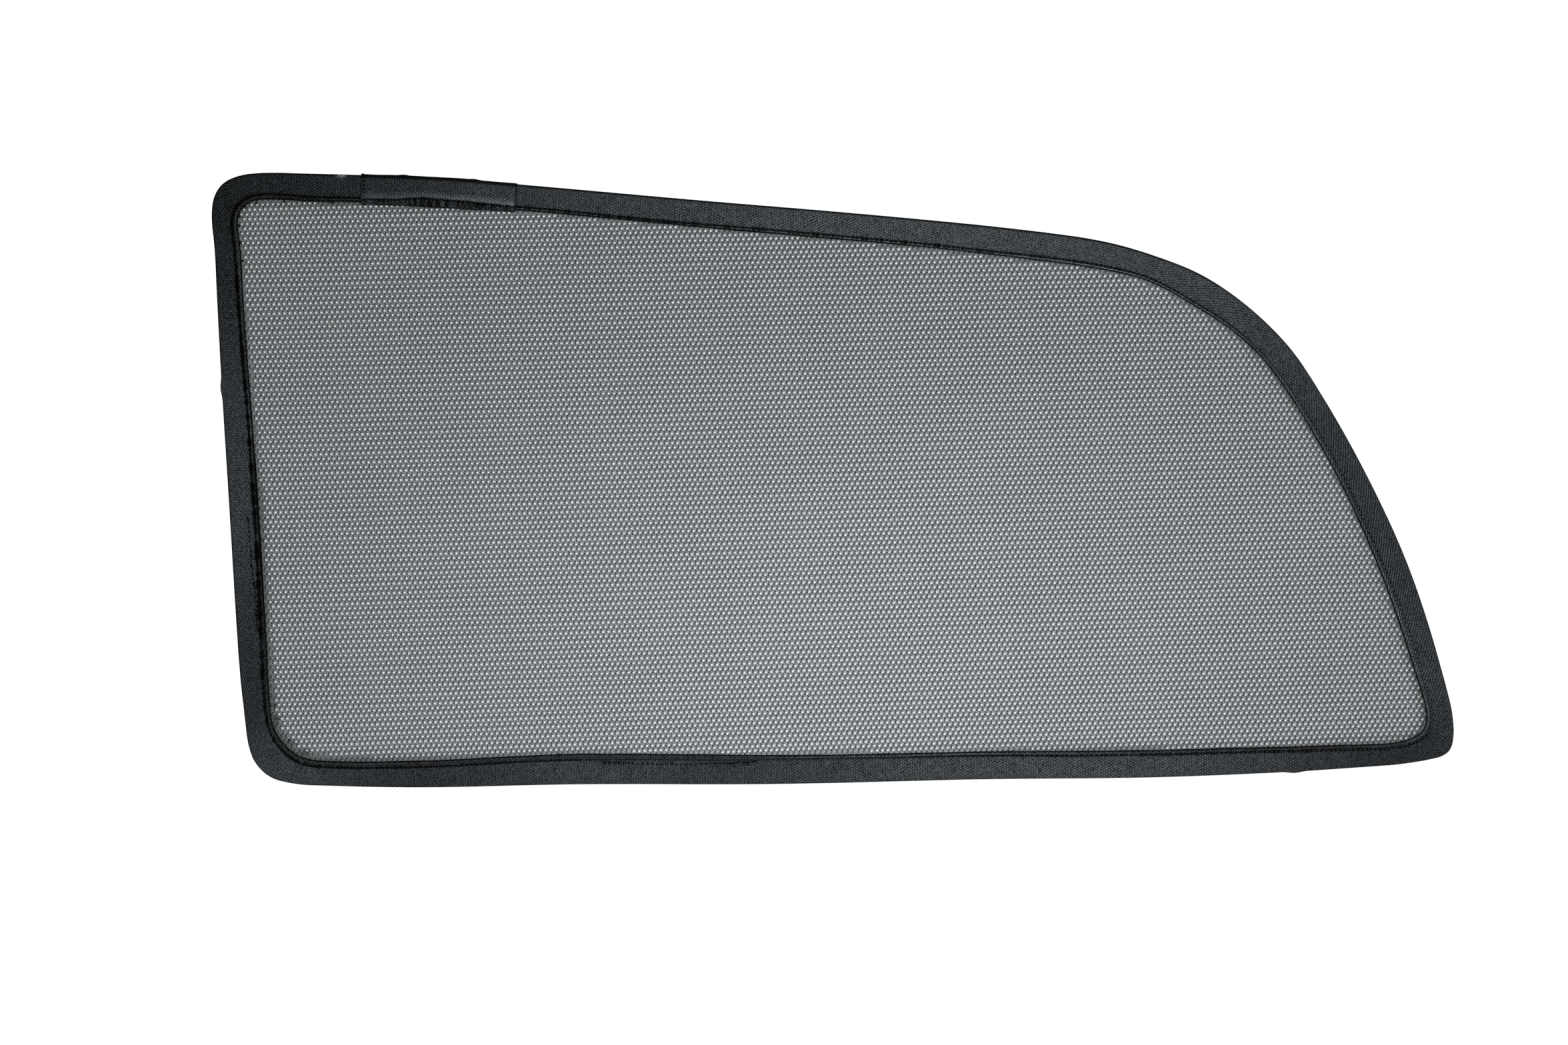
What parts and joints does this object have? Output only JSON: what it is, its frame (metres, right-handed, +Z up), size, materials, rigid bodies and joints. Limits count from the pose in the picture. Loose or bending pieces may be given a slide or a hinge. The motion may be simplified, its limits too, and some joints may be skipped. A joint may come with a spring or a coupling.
{
  "type": "car window mesh sunshade",
  "caption": "Flat sunshade for a car's side window: a knitted mesh panel held by a spring wire and magnets inside a folded, stitched fabric hem.",
  "frame": {"origin": "middle of the shade's overall box, in the middle plane of the mesh", "axes": "+X along the window, towards the shade's pointed end; +Y through the thickness, towards the glass; +Z up in the window. The face seen from inside the car looks to -Y"},
  "size_m": [0.85, 0.0062, 0.4202],
  "materials": {
    "mesh_knit": "open warp-knitted polyester mesh, mid grey, matt",
    "hem_twill": "dark slate twill tape, matt with a faint sheen",
    "spring_steel": "drawn spring wire, satin",
    "sleeve_metal": "crimped tube, satin",
    "magnet_plating": "nickel plate, bright",
    "thread": "black polyester sewing thread"
  },
  "bodies": {
    "root": {"mesh_panel": "mesh_knit", "hem_tape": "hem_twill", "splice_patch": "hem_twill", "spring_wire": "spring_steel", "wire_sleeve": "sleeve_metal", "magnet_left": "magnet_plating", "magnet_top_left": "magnet_plating", "magnet_top": "magnet_plating", "magnet_right": "magnet_plating", "magnet_bottom_right": "magnet_plating", "magnet_bottom": "magnet_plating", "magnet_bottom_left": "magnet_plating", "hem_seam_front": "thread", "hem_seam_back": "thread", "patch_seam_front": "thread", "patch_seam_back": "thread", "patch_tack_left": "thread", "patch_tack_right": "thread", "backtack_bottom": "thread", "backtack_left": "thread"}
  },
  "joints": []
}
